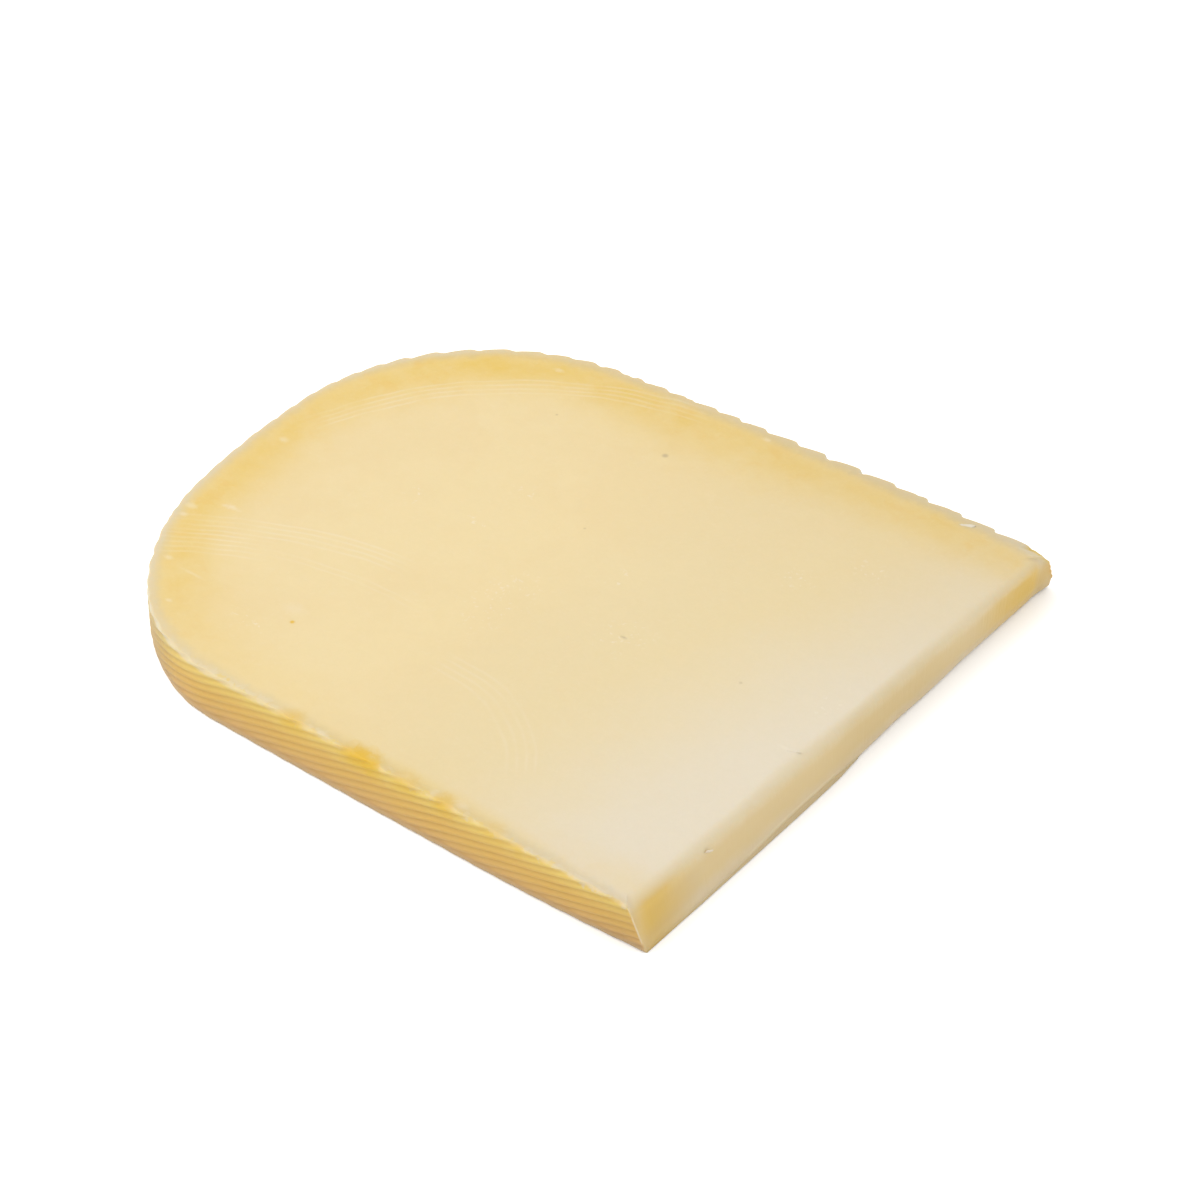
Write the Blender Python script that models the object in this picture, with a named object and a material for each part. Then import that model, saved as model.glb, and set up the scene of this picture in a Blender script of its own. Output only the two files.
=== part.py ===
"""A slab of hard cheese, cut from a large wheel and laid down on its cut face.

The two long sides are the wheel's flat faces, the rounded end is the wheel's bulging
edge, and the straight end is a knife cut.  The rind on the long sides and round the end
carries the fine parallel grooves of the press mat; they climb gently round the slab, so
the top and bottom edges of the rind are scalloped where the knife crossed them.

Frame: +X points at the cut end, +Y at the back rind side and +Z up, in metres.  The
origin is the centre of the slab's box, on the board that it lies on.
"""
import math

import bmesh
import bpy
from mathutils import Vector

# --- driving sizes, in metres and degrees -------------------------------------------

CUT_THICKNESS = 0.0093       # between the two knife-cut faces, at the straight end
BULGE_THICKNESS = 0.0099     # and at the rounded end
SLAB_LENGTH = 0.1264         # over which the thickness grows
HALF_HEIGHT = 0.0553         # from the slab's middle line to the back rind, at the cut end
FIRST_HEADING = 178.3        # direction of the back rind as it leaves the cut end

# The rind's outline, walked from the cut end along the back rind, round the bulging
# end and back along the front rind: the length of each stretch and how far it turns.
BACK_SIDE = (0.0875, 5.7)
BACK_SHOULDER_RADIUS = 0.0419
BACK_SHOULDER_TURN = 86.8
BULGE_RADIUS = 0.1565
BULGE_TURN = 10.4
FRONT_SHOULDER_RADIUS = 0.0541
FRONT_SHOULDER_TURN = 30.9
FRONT_CORNER_RADIUS = 0.0342
FRONT_CORNER_TURN = 46.6
FRONT_SIDE = (0.0860, 0.1)

# Grooves pressed into the rind.
GROOVE_PITCH = 0.00145       # from one groove to the next, measured straight up the rind
GROOVE_CLIMB = 16.0          # how steeply a groove climbs along the rind
GROOVE_DEPTH = 0.00040
GROOVE_LIP = 0.15            # share of the pitch taken by a groove's steep side
RIDGE_ROUNDNESS = 1.6        # power of the long side's curve, 1 is a flat slope

# The knife cut at the straight end.
CUT_FRONT_LEAN = 0.0021      # how far the cut's foot stands out at the front corner
CUT_BACK_LEAN = -0.0016      # and at the back corner, where it tucks in
FRONT_SLANT = 0.0019         # how far the front rind's foot tucks in at the cut end
BACK_SLANT = 0.0045          # and how far the back rind's foot stands out there
LEAN_REACH = 0.040           # both slants fade out over this length, away from the cut
CUT_EDGE_RADIUS = 0.0016     # the softened top edge of the cut end
FRONT_CORNER_ROUND = 0.0010  # the upright corners of the cut end, seen from above
BACK_CORNER_ROUND = 0.0012

# The hollow under the cut end, where the slab has dried and curled off the board.
ARCH_RISE = 0.0009
ARCH_HALF_WIDTH = 0.026
ARCH_DEPTH = 0.024
ARCH_OFFSET = -0.005         # the arch's middle, from the slab's middle line
ARCH_SINK = 0.0006           # how far the scoop's own middle lies below the board

# How finely the surface is divided.
RIND_ROWS = 8                # rows of faces up the rind
RIDGE_PHASES = (0.0, GROOVE_LIP, 0.45, 0.75)
SPARE = 0.010                # how far the raw slab runs past the cut before it is cut off
CUT_STRIPS = 8               # strips across the slab, which let the cut face twist
EDGE_CUTS = 3                # plane cuts that round an edge
SLIVER = 0.00004             # edges shorter than this are merged away

PASTE_COLOUR = (0.88, 0.72, 0.42)
PASTE_ROUGHNESS = 0.48


def thickness_at(x):
    """Thickness of the slab at a distance behind the cut end, where x is zero."""
    return CUT_THICKNESS - (BULGE_THICKNESS - CUT_THICKNESS) * x / SLAB_LENGTH


def outline_stretches():
    """Length and turn, in radians, of each stretch of the rind's outline, in order."""
    shoulders = (
        (BACK_SHOULDER_RADIUS, BACK_SHOULDER_TURN),
        (BULGE_RADIUS, BULGE_TURN),
        (FRONT_SHOULDER_RADIUS, FRONT_SHOULDER_TURN),
        (FRONT_CORNER_RADIUS, FRONT_CORNER_TURN),
    )
    arcs = [(radius * math.radians(turn), math.radians(turn)) for radius, turn in shoulders]
    back = (BACK_SIDE[0], math.radians(BACK_SIDE[1]))
    front = (FRONT_SIDE[0], math.radians(FRONT_SIDE[1]))
    return [back] + arcs + [front]


def outline_length():
    """Length of the whole outline, from one corner of the cut end to the other."""
    return sum(length for length, _ in outline_stretches())


def outline_point(distance):
    """Place on the outline and the way out of the slab there.

    A distance before the start or past the end runs straight on past the cut.
    """
    place = Vector((0.0, HALF_HEIGHT))
    heading = math.radians(FIRST_HEADING)
    left = distance
    if left < 0.0:
        return walk_straight(place, heading, left)
    for length, turn in outline_stretches():
        step = min(left, length)
        place, heading = walk_arc(place, heading, step, turn * step / length)
        left -= step
        if left <= 0.0:
            break
    return walk_straight(place, heading, left)


def walk_straight(place, heading, length):
    """Go straight on; return the new place and the outward direction there."""
    ahead = Vector((math.cos(heading), math.sin(heading)))
    outward = Vector((ahead.y, -ahead.x))
    return place + ahead * length, outward


def walk_arc(place, heading, length, turn):
    """Go along an arc of this length and turn; return the new place and heading."""
    middle = heading + turn / 2.0
    chord = length
    if abs(turn) > 1e-9:
        chord = length * math.sin(turn / 2.0) / (turn / 2.0)
    ahead = Vector((math.cos(middle), math.sin(middle)))
    return place + ahead * chord, heading + turn


def groove_profile(phase):
    """How deep the rind lies below its ridges, from 0 to 1, across one groove.

    The surface climbs out of the groove by a short steep side, then falls away again in
    a long rounded slope to the next groove.
    """
    if phase < GROOVE_LIP:
        return 1.0 - phase / GROOVE_LIP
    return ((phase - GROOVE_LIP) / (1.0 - GROOVE_LIP)) ** RIDGE_ROUNDNESS


def rind_columns():
    """Starts, at the foot of the rind, of the lines that run along grooves and ridges."""
    groove_spacing = GROOVE_PITCH / math.tan(math.radians(GROOVE_CLIMB))
    climb_run = BULGE_THICKNESS / math.tan(math.radians(GROOVE_CLIMB))
    first = math.floor(-(SPARE + climb_run) / groove_spacing)
    last = math.ceil((outline_length() + SPARE) / groove_spacing)
    columns = []
    for groove in range(first, last):
        for phase in RIDGE_PHASES:
            columns.append(((groove + phase) * groove_spacing, groove_profile(phase)))
    return columns


def raw_slab():
    """The slab before its end is cut: grooved walls that lean along with the grooves."""
    slab = bmesh.new()
    climb = math.tan(math.radians(GROOVE_CLIMB))
    columns = rind_columns()
    rings = []
    for row in range(RIND_ROWS + 1):
        share = row / RIND_ROWS
        ring = []
        for start, depth in columns:
            place, outward = outline_point(start + share * BULGE_THICKNESS / climb)
            place = place - outward * depth * GROOVE_DEPTH
            ring.append(slab.verts.new((place.x, place.y, share * thickness_at(place.x))))
        rings.append(ring)
    count = len(columns)
    for lower, upper in zip(rings, rings[1:]):
        for i in range(count):
            j = (i + 1) % count
            slab.faces.new((lower[i], lower[j], upper[j], upper[i]))
    slab.faces.new(list(reversed(rings[0])))
    slab.faces.new(rings[-1])
    return slab


def cut_through(slab, point, normal, keep_all=False):
    """Cut the slab with a plane; unless all is kept, drop the far side and close the cut."""
    everything = slab.verts[:] + slab.edges[:] + slab.faces[:]
    result = bmesh.ops.bisect_plane(
        slab, geom=everything, plane_co=point, plane_no=normal, dist=1e-7,
        clear_outer=not keep_all,
    )
    if not keep_all:
        rim = [item for item in result["geom_cut"] if isinstance(item, bmesh.types.BMEdge)]
        bmesh.ops.edgenet_fill(slab, edges=rim)


def round_edge(slab, corner, across, radius):
    """Round an edge of the cut face with plane cuts that touch a circle of this radius.

    The edge passes through the corner, and across is the other face's outward direction.
    """
    outward = Vector((1.0, 0.0, 0.0))
    centre = corner - (outward + across) * radius
    for i in range(EDGE_CUTS):
        angle = math.radians(90.0 * (i + 1) / (EDGE_CUTS + 1))
        normal = outward * math.cos(angle) + across * math.sin(angle)
        cut_through(slab, centre + normal * radius, normal)


def cut_straight_end(slab):
    """Cut the raw slab off at the straight end, then soften the cut's edge and corners."""
    cut_through(slab, (0.0, 0.0, 0.0), (1.0, 0.0, 0.0))
    back, _ = outline_point(0.0)
    front, _ = outline_point(outline_length())
    up = Vector((0.0, 0.0, 1.0))
    sideways = Vector((0.0, 1.0, 0.0))
    round_edge(slab, Vector((0.0, 0.0, CUT_THICKNESS)), up, CUT_EDGE_RADIUS)
    round_edge(slab, back.to_3d(), sideways, BACK_CORNER_ROUND)
    round_edge(slab, front.to_3d(), -sideways, FRONT_CORNER_ROUND)


def weld_slivers(slab):
    """Merge the tiny edges that the plane cuts leave where they meet the grooves."""
    bmesh.ops.remove_doubles(slab, verts=slab.verts[:], dist=SLIVER)
    bmesh.ops.dissolve_degenerate(slab, edges=slab.edges[:], dist=SLIVER)


def slant_cut_end(slab):
    """Twist the cut face and slant both rind sides near it, as the knife wandered."""
    low = min(vertex.co.y for vertex in slab.verts)
    high = max(vertex.co.y for vertex in slab.verts)
    for i in range(1, CUT_STRIPS):
        across = low + (high - low) * i / CUT_STRIPS
        cut_through(slab, (0.0, across, 0.0), (0.0, 1.0, 0.0), keep_all=True)
    for vertex in slab.verts:
        nearness = max(0.0, 1.0 + vertex.co.x / LEAN_REACH)
        drop = 1.0 - vertex.co.z / thickness_at(vertex.co.x)
        across = (vertex.co.y - low) / (high - low)
        lean = CUT_FRONT_LEAN + (CUT_BACK_LEAN - CUT_FRONT_LEAN) * across
        vertex.co.x += lean * drop * nearness ** 2
        slant = FRONT_SLANT + (BACK_SLANT - FRONT_SLANT) * across
        vertex.co.y += slant * drop * nearness ** 2


def stand_on_origin(slab):
    """Put the middle of the slab's box over the origin."""
    xs = [vertex.co.x for vertex in slab.verts]
    ys = [vertex.co.y for vertex in slab.verts]
    middle = Vector(((min(xs) + max(xs)) / 2.0, (min(ys) + max(ys)) / 2.0, 0.0))
    bmesh.ops.translate(slab, verts=slab.verts[:], vec=-middle)
    return middle


def arch_cutter(cut_x, cut_y):
    """A flat round lens that scoops the hollow under the cut end."""
    bpy.ops.mesh.primitive_uv_sphere_add(segments=32, ring_count=16, radius=1.0)
    cutter = bpy.context.object
    cutter.name = "arch_cutter"
    cutter.location = (cut_x, cut_y + ARCH_OFFSET, -ARCH_SINK)
    for vertex in cutter.data.vertices:
        vertex.co.x *= ARCH_DEPTH
        vertex.co.y *= ARCH_HALF_WIDTH
        vertex.co.z *= ARCH_RISE + ARCH_SINK
    cutter.hide_render = True
    cutter.display_type = 'WIRE'
    return cutter


def paste_material():
    """Ivory yellow cheese with a waxy, fairly matt surface."""
    material = bpy.data.materials.new("cheese paste")
    material.use_nodes = True
    shader = material.node_tree.nodes["Principled BSDF"]
    shader.inputs["Base Color"].default_value = (*PASTE_COLOUR, 1.0)
    shader.inputs["Roughness"].default_value = PASTE_ROUGHNESS
    shader.inputs["Metallic"].default_value = 0.0
    return material


def cheese_slab():
    """The whole slab: raw form, cut end, lean, and the hollow under the cut."""
    slab = raw_slab()
    cut_straight_end(slab)
    slant_cut_end(slab)
    weld_slivers(slab)
    middle = stand_on_origin(slab)
    bmesh.ops.recalc_face_normals(slab, faces=slab.faces[:])
    mesh = bpy.data.meshes.new("cheese")
    slab.to_mesh(mesh)
    slab.free()
    mesh.shade_smooth()
    mesh.set_sharp_from_angle(angle=math.radians(35.0))
    mesh.materials.append(paste_material())
    cheese = bpy.data.objects.new("cheese", mesh)
    bpy.context.collection.objects.link(cheese)
    hollow = cheese.modifiers.new("hollow under the cut", 'BOOLEAN')
    hollow.operation = 'DIFFERENCE'
    hollow.solver = 'EXACT'
    hollow.object = arch_cutter(-middle.x, -middle.y)
    return cheese


for old in list(bpy.data.objects):
    bpy.data.objects.remove(old, do_unlink=True)
cheese_slab()
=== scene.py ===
import math

import bpy
import numpy as np
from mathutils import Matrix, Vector


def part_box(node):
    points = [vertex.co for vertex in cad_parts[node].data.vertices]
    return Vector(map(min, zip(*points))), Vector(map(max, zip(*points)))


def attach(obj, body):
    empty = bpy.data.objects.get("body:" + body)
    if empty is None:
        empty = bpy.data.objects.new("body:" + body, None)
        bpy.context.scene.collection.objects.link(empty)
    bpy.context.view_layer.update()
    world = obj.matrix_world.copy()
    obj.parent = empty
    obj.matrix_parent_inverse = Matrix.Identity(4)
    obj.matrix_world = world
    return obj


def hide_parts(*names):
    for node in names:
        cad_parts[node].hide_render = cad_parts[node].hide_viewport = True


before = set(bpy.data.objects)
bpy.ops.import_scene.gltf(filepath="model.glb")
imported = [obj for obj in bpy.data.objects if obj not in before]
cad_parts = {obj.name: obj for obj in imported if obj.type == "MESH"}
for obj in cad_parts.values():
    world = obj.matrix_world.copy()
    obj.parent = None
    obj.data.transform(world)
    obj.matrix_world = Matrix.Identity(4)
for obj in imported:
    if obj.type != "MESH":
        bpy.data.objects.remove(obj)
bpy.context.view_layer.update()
lowest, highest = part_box("cheese")
print("frame loaded:", ", ".join(sorted(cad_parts)))

# everything is in metres and degrees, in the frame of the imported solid


def arc(radius, turn):
    return (radius * math.radians(turn), turn)


slab = {
    "cutThickness": 0.0093,       # between the two knife-cut faces, at the straight end
    "bulgeThickness": 0.0099,     # and at the rounded end
    "length": 0.1264,             # the thickness grows evenly over this length
    "halfHeight": 0.0553,         # from the middle line to the back rind, at the cut end
    "firstHeading": 178.3,        # the back rind's direction as it leaves the cut end
    # the rind's outline from the back corner round to the front corner: length and turn
    "stretches": ((0.0875, 5.7), arc(0.0419, 86.8), arc(0.1565, 10.4),
                  arc(0.0541, 30.9), arc(0.0342, 46.6), (0.0860, 0.1)),
    "cornerRadii": (0.0006, 0.0004),   # upright corners of the cut end, back and front
    "footLean": (0.0021, -0.0011),     # the cut's foot stands out in front, tucks in behind
    "rindLean": (0.00184, 0.0045),     # the rind's foot at the cut end, front and back
    "leanReach": 0.040,                # both leans fade out over this length
    "middle": (-0.060, 0.0),           # where the rings of both cut faces run together
    "cutEdge": 0.0019,                 # rounding of the top edge along the straight cut
    "cornerEdge": 0.0027,              # and over the back corner, softened over its reach
    "cornerReach": 0.0036,
    "footEdge": 0.0004,                # rounding of the rind's foot
    "cornerFoot": 0.0011,              # and of the foot under the back corner
    "topWave": 0.00003,                # slow swell of the upper cut face
    "rindWobble": 0.00014,             # slow wander of the rind
    "cutWobble": 0.00022,              # and of the straight cut
    "chips": 0.00045,                  # small breaks along the rind's top edge
}

# how the rind changes along its length: distance from the back corner and grooves crossed
# by then at the top edge; then, in millimetres, their depth there, how far the ridges stand
# out beyond the plain outline, and the rounding of the top edge
rind = {
    "along":    (0.0000, 0.0035, 0.0370, 0.0570, 0.0830, 0.1020, 0.1270, 0.1400,
                 0.1520, 0.1660, 0.1800, 0.2000, 0.2220, 0.2800, 0.3224),
    "crossed":  (-0.60, 0.00, 5.00, 8.00, 13.00, 17.00, 21.00, 23.60,
                 25.97, 28.74, 31.50, 35.68, 40.28, 51.60, 60.45),
    "depth":    (0.10, 1.00, 0.90, 0.85, 0.62, 0.70, 0.70, 0.28,
                 0.26, 0.24, 0.22, 0.25, 0.28, 0.29, 0.30),
    "standOut": (0.60, 1.00, 0.98, 0.87, 0.74, 0.66, 0.62, 0.22,
                 0.00, 0.14, 0.18, 0.28, 0.28, 0.12, 0.08),
    "edge":     (0.30, 0.30, 0.30, 0.30, 0.30, 0.28, 0.20, 0.18,
                 0.18, 0.19, 0.20, 0.27, 0.35, 0.50, 0.50),
}

# how far the foot of the front rind stands out, in millimetres, by the distance along it
rindFoot = {"along": (0.2120, 0.2200, 0.2300, 0.2400, 0.2600, 0.2700, 0.2850, 0.3000, 0.3224),
            "standOut": (0.00, -0.04, 0.325, 0.22, 0.12, 0.07, -0.15, -0.11, -0.05)}

grooves = {
    "pitch": 0.00145,             # straight up the rind, from one groove to the next
    "lip": 0.26,                  # share of the pitch taken by the steep side
    "roundness": 1.6,             # power of the long side's curve
    "upright": 0.0009,            # the back rind's notches go straight down this far
    "wander": 0.08,               # how far a groove strays, in pitches
    "lowDepth": 0.45,             # share of the depth that is left lower down the rind
}

# the foot of the straight cut, by the place across it from front to back: in millimetres the
# rounding under it, the height of the thin lip that stands out where the foot is arched, and
# how far the foot is set in; in metres how far the lip stands out
cutFoot = {
    "across":   (-0.0561, -0.0461, -0.0381, -0.0341, -0.0261, -0.0221, -0.0141, -0.0101, -0.0061,
                 -0.0021, 0.0019, 0.0099, 0.0179, 0.0229, 0.0299, 0.0379, 0.0459, 0.0499, 0.0539),
    "rounding": (0.10, 0.28, 0.30, 0.30, 0.30, 0.30, 0.30, 0.30, 0.30,
                 0.65, 0.95, 1.30, 1.10, 1.10, 1.22, 1.25, 1.15, 1.00, 1.12),
    "lip":      (0.28, 0.36, 0.50, 0.60, 0.90, 1.14, 1.36, 1.38, 1.22,
                 0.60, 0.00, 0.00, 0.00, 0.00, 0.00, 0.00, 0.00, 0.00, 0.00),
    "setIn":    (0.00, 0.00, 0.00, 0.00, 0.00, 0.00, 0.00, 0.00, 0.00,
                 0.22, 0.18, 0.36, 0.16, 0.20, 0.52, 0.50, 0.42, 0.52, 1.10),
    "standOut": 0.00028,
}

arch = {
    "rise": 0.0009, "sink": 0.0006, "halfWidth": 0.026, "depth": 0.024, "offset": -0.005, "closed": 0.002,
}

grid = {
    "rindColumns": 888, "cutColumns": 116, "cornerColumns": 9,
    "underRings": (0.22, 0.45, 0.60, 0.72, 0.81, 0.88, 0.93, 0.965, 0.985),
    "footRows": 6, "lowRows": 15, "wallRows": 32, "edgeRows": 9,
    "topRings": (0.996, 0.991, 0.985, 0.978, 0.970, 0.961, 0.951, 0.940, 0.927, 0.912, 0.894,
                 0.873, 0.848, 0.818, 0.782, 0.74, 0.69, 0.62, 0.53, 0.42, 0.30, 0.16),
}


# A smooth made-up swell between -1 and 1: a sum of plane waves that run every way.
def swell(x, y, length, seed, waves=9):
    chance = np.random.default_rng(seed)
    total = np.zeros(np.broadcast(x, y).shape)
    for _ in range(waves):
        way = chance.uniform(0, 2 * math.pi)
        pace = 2 * math.pi / (length * chance.uniform(0.7, 1.6))
        start = chance.uniform(0, 2 * math.pi)
        total += np.sin(pace * (x * math.cos(way) + y * math.sin(way)) + start)
    return total / (waves * 0.62)


def smoothRamp(value, low, high):
    share = np.clip((value - low) / (high - low), 0.0, 1.0)
    return share * share * (3.0 - 2.0 * share)


# Places and outward directions along the rind. Each stretch is an arc, and the chord to a
# distance along it is distance * sin(turn / 2) / (turn / 2), laid along the middle heading.
def rindOutline(distance):
    place, heading = complex(0.0, slab["halfHeight"]), math.radians(slab["firstHeading"])
    starts, places, headings, lengths, turns = [], [], [], [], []
    gone = 0.0
    for length, turn in slab["stretches"]:
        turn = math.radians(turn)
        starts.append(gone)
        places.append(place)
        headings.append(heading)
        lengths.append(length)
        turns.append(turn)
        chord = length * math.sin(turn / 2) / (turn / 2)
        place += chord * complex(math.cos(heading + turn / 2), math.sin(heading + turn / 2))
        heading += turn
        gone += length
    starts, places, headings = np.array(starts), np.array(places), np.array(headings)
    lengths, turns = np.array(lengths), np.array(turns)
    distance = np.asarray(distance, float)
    which = np.clip(np.searchsorted(starts, distance, side="right") - 1, 0, len(starts) - 1)
    along = distance - starts[which]
    turned = turns[which] * along / lengths[which]
    chord = along * np.sinc(turned / (2 * math.pi))
    place = places[which] + chord * np.exp(1j * (headings[which] + turned / 2))
    outward = -1j * np.exp(1j * (headings[which] + turned))
    return place, outward


rindLength = sum(length for length, turn in slab["stretches"])


def rindAt(name, distance):
    return np.interp(distance, rind["along"], rind[name])


# A rounded corner between two straight runs: places and outward directions on its arc.
def cornerArc(corner, before, after, radius, count):
    turn = float(np.angle(after / before))
    reach = radius * math.tan(turn / 2)
    centre = corner - before * reach + before * 1j * radius
    outward = before * -1j * np.exp(1j * turn * np.linspace(0.0, 1.0, count))
    return centre + outward * radius, outward, reach


# The closed outline, counterclockwise from the back corner: rind, front corner, straight cut.
def closedOutline():
    backRadius, frontRadius = slab["cornerRadii"]
    (backCorner, frontEnd), outwards = rindOutline([0.0, rindLength])
    backWay, frontWay = outwards * 1j
    frontCorner = frontEnd - frontWay * (frontEnd.real / frontWay.real)
    extra = abs(frontCorner - frontEnd) * np.sign((frontCorner - frontEnd).real)
    count = grid["cornerColumns"]
    backArc, backOut, backReach = cornerArc(backCorner, 1j, backWay, backRadius, count)
    frontArc, frontOut, frontReach = cornerArc(frontCorner, frontWay, 1j, frontRadius, count)
    last = rindLength + extra - frontReach
    distance = np.linspace(backReach, last, grid["rindColumns"] + 2)[1:-1]
    rindPlaces, rindOut = rindOutline(distance)
    share = np.linspace(0.0, 1.0, grid["cutColumns"] + 2)[1:-1]
    cut = frontArc[-1] + (backArc[0] - frontArc[-1]) * share
    step = np.linspace(0.0, 1.0, count)
    place = np.concatenate([backArc, rindPlaces, frontArc, cut])
    outward = np.concatenate([backOut, rindOut, frontOut, np.full(len(cut), 1 + 0j)])
    along = np.concatenate([backReach * step, distance, last + frontReach * step,
                            np.where(share < 0.5, rindLength, 0.0)])
    onRind = np.concatenate([smoothRamp(step, 0.0, 1.0), np.ones(len(distance)),
                             smoothRamp(1.0 - step, 0.0, 1.0), np.zeros(len(cut))])
    return place, outward, along, onRind


# How deep the rind lies below its ridges, 0 to 1, at a drop below the top edge. The phase is
# grooves crossed + drop / pitch. On the back rind a groove has a short steep side and a long
# rounded one; on the front rind it is an even wave, half plus half the phase's cosine.
def grooveDepth(distance, drop):
    upright = grooves["upright"] * smoothRamp(distance, 0.225, 0.150)
    phase = rindAt("crossed", distance) + np.maximum(drop - upright, 0.0) / grooves["pitch"]
    phase = phase + grooves["wander"] * swell(distance, drop * 3, 0.021, 5)
    turn = phase - np.floor(phase)
    lip = grooves["lip"]
    steep = 1.0 - smoothRamp(turn, 0.0, lip)
    gentle = np.clip((turn - lip) / (1.0 - lip), 0.0, 1.0) ** grooves["roundness"]
    stepped = np.where(turn < lip, steep, gentle)
    even = 0.5 + 0.5 * np.cos(2 * math.pi * phase)
    return stepped + (even - stepped) * smoothRamp(distance, 0.150, 0.225)


def thicknessAt(x):
    return slab["cutThickness"] - (slab["bulgeThickness"] - slab["cutThickness"]) * x / slab["length"]


# Height of the hollow under the cut end: the top of a flat round lens, closed off in front by
# the lip.
def hollowAt(place):
    across = (place.imag - arch["offset"]) / arch["halfWidth"]
    inside = 1.0 - (place.real / arch["depth"]) ** 2 - across ** 2
    lens = np.maximum(0.0, (arch["rise"] + arch["sink"]) * np.sqrt(np.maximum(inside, 0.0)) - arch["sink"])
    return lens * smoothRamp(-place.real, arch["closed"], arch["closed"] + 0.004)


# Both leans, of the cut's foot and of the rind's, grow towards the foot and the cut end:
# lean * drop * nearness squared, going evenly from the front corner's to the back's.
def leant(ring, drop, outline):
    near = np.maximum(0.0, 1.0 + ring.real / slab["leanReach"]) ** 2
    low, high = outline.imag.min(), outline.imag.max()
    across = (ring.imag - low) / (high - low)
    lean = slab["footLean"][0] + (slab["footLean"][1] - slab["footLean"][0]) * across
    slant = slab["rindLean"][0] + (slab["rindLean"][1] - slab["rindLean"][0]) * across
    return ring.real + lean * drop * near, ring.imag + slant * drop * near


# The middle of the smooth outline's box, with the leaning foot in it, so that the slab can
# be laid over the middle of the solid's box.
def plainMiddle():
    outline = closedOutline()[0]
    footX, footY = leant(outline, 1.0, outline)
    x, y = np.append(outline.real, footX), np.append(outline.imag, footY)
    return complex(x.min() + x.max(), y.min() + y.max()) / 2


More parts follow.
